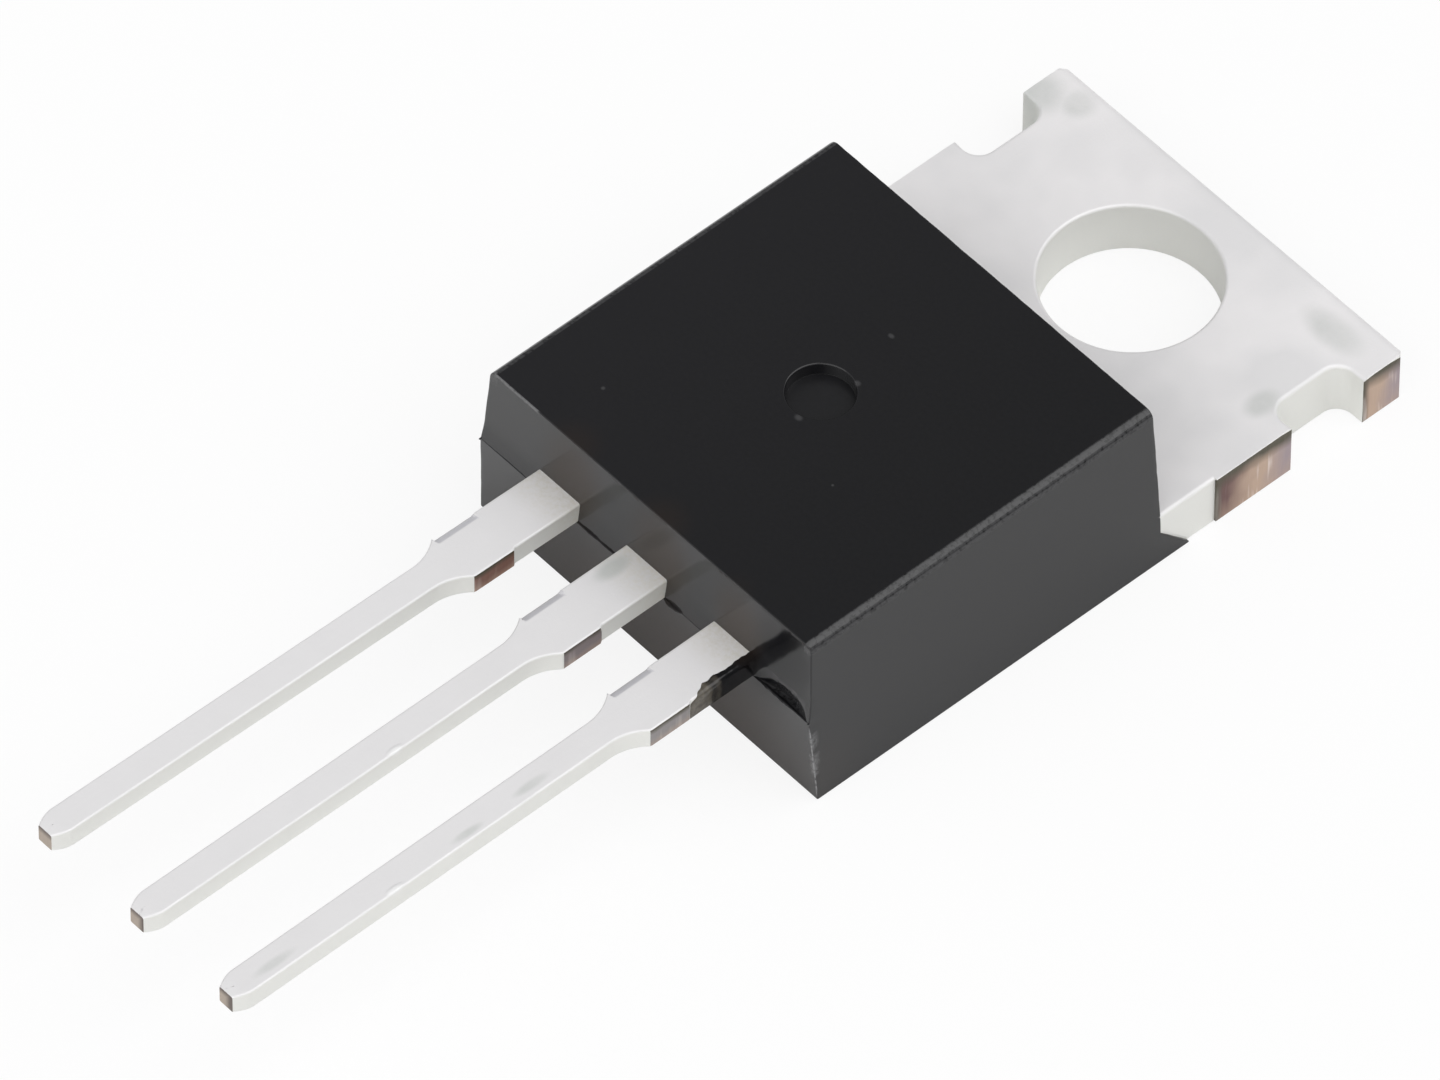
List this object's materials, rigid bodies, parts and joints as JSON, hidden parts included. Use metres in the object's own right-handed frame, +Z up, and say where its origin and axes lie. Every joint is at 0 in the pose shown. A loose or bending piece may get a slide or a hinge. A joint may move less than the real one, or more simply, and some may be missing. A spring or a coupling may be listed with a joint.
{
  "type": "power transistor",
  "caption": "Flat-tab power transistor: a moulded black body on a plated metal tab with a mounting hole, and flat tapered leads for soldering.",
  "frame": {"origin": "centre of the mounting hole, on the mounting face", "axes": "+X across the leads, +Y towards the tab's end with the leads pointing to -Y, +Z up from the mounting face"},
  "size_m": [0.0098, 0.0285, 0.0044],
  "materials": {
    "tin_plate": "satin tin plate over copper",
    "moulding": "fine satin, filled epoxy",
    "solder": "dull",
    "silicon": "metallised silicon",
    "bond_wire": "drawn"
  },
  "bodies": {
    "root": {"heat_tab": "tin_plate", "base_lead": "tin_plate", "emitter_lead": "tin_plate", "die_solder": "solder", "silicon_die": "silicon", "base_wire": "bond_wire", "emitter_wire_inner": "bond_wire", "emitter_wire_outer": "bond_wire", "moulded_body": "moulding"}
  },
  "joints": []
}
